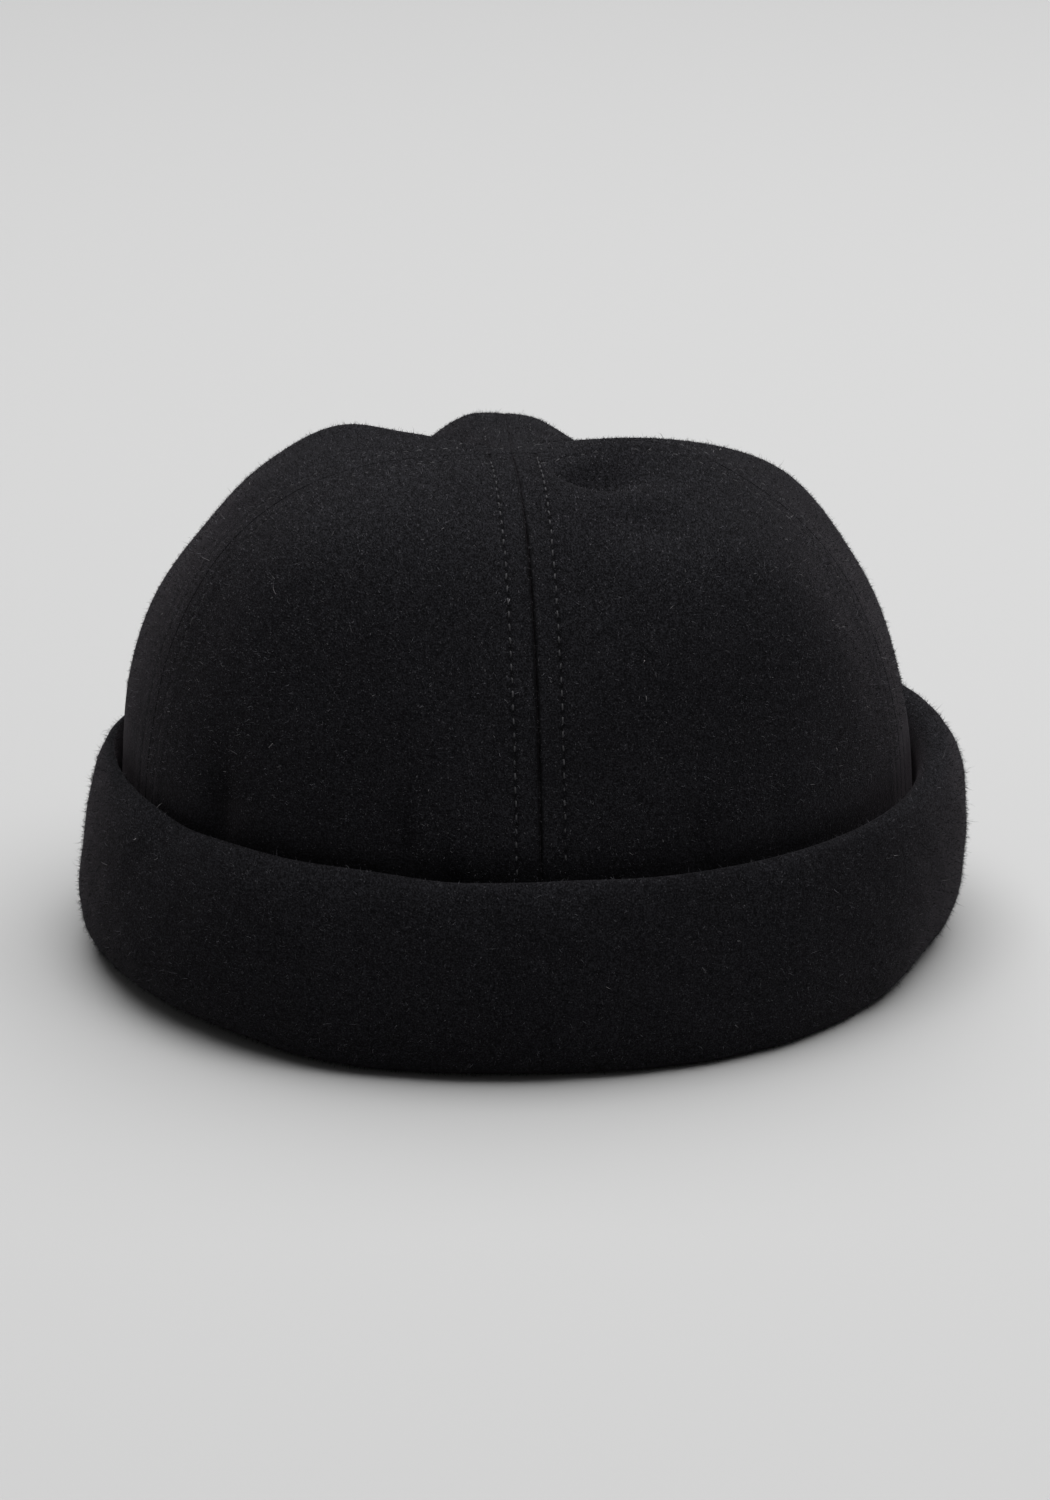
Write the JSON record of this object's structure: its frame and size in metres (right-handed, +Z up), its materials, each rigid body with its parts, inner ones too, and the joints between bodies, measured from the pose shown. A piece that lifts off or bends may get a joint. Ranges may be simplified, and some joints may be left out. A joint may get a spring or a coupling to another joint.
{
  "type": "felt watch cap",
  "caption": "Close-fitting felt cap with a domed, paneled crown, pressed-open topstitched seams and a thick turned-up cuff.",
  "frame": {"origin": "centre of the cap's plan at the underside of the cuff, which stands on the surface", "axes": "+Z up along the cap's shortest extent, the front seam towards -Y, the wearer's left towards +X"},
  "size_m": [0.2092, 0.2082, 0.1242],
  "materials": {
    "crown_felt": "brushed black wool felt, fine nap",
    "cuff_felt": "brushed black wool felt, fuzzier nap at the fold"
  },
  "bodies": {
    "root": {"crown_panel_front_right": "crown_felt", "crown_panel_back_right": "crown_felt", "crown_panel_back_left": "crown_felt", "crown_panel_front_left": "crown_felt", "cuff": "cuff_felt"}
  },
  "joints": []
}
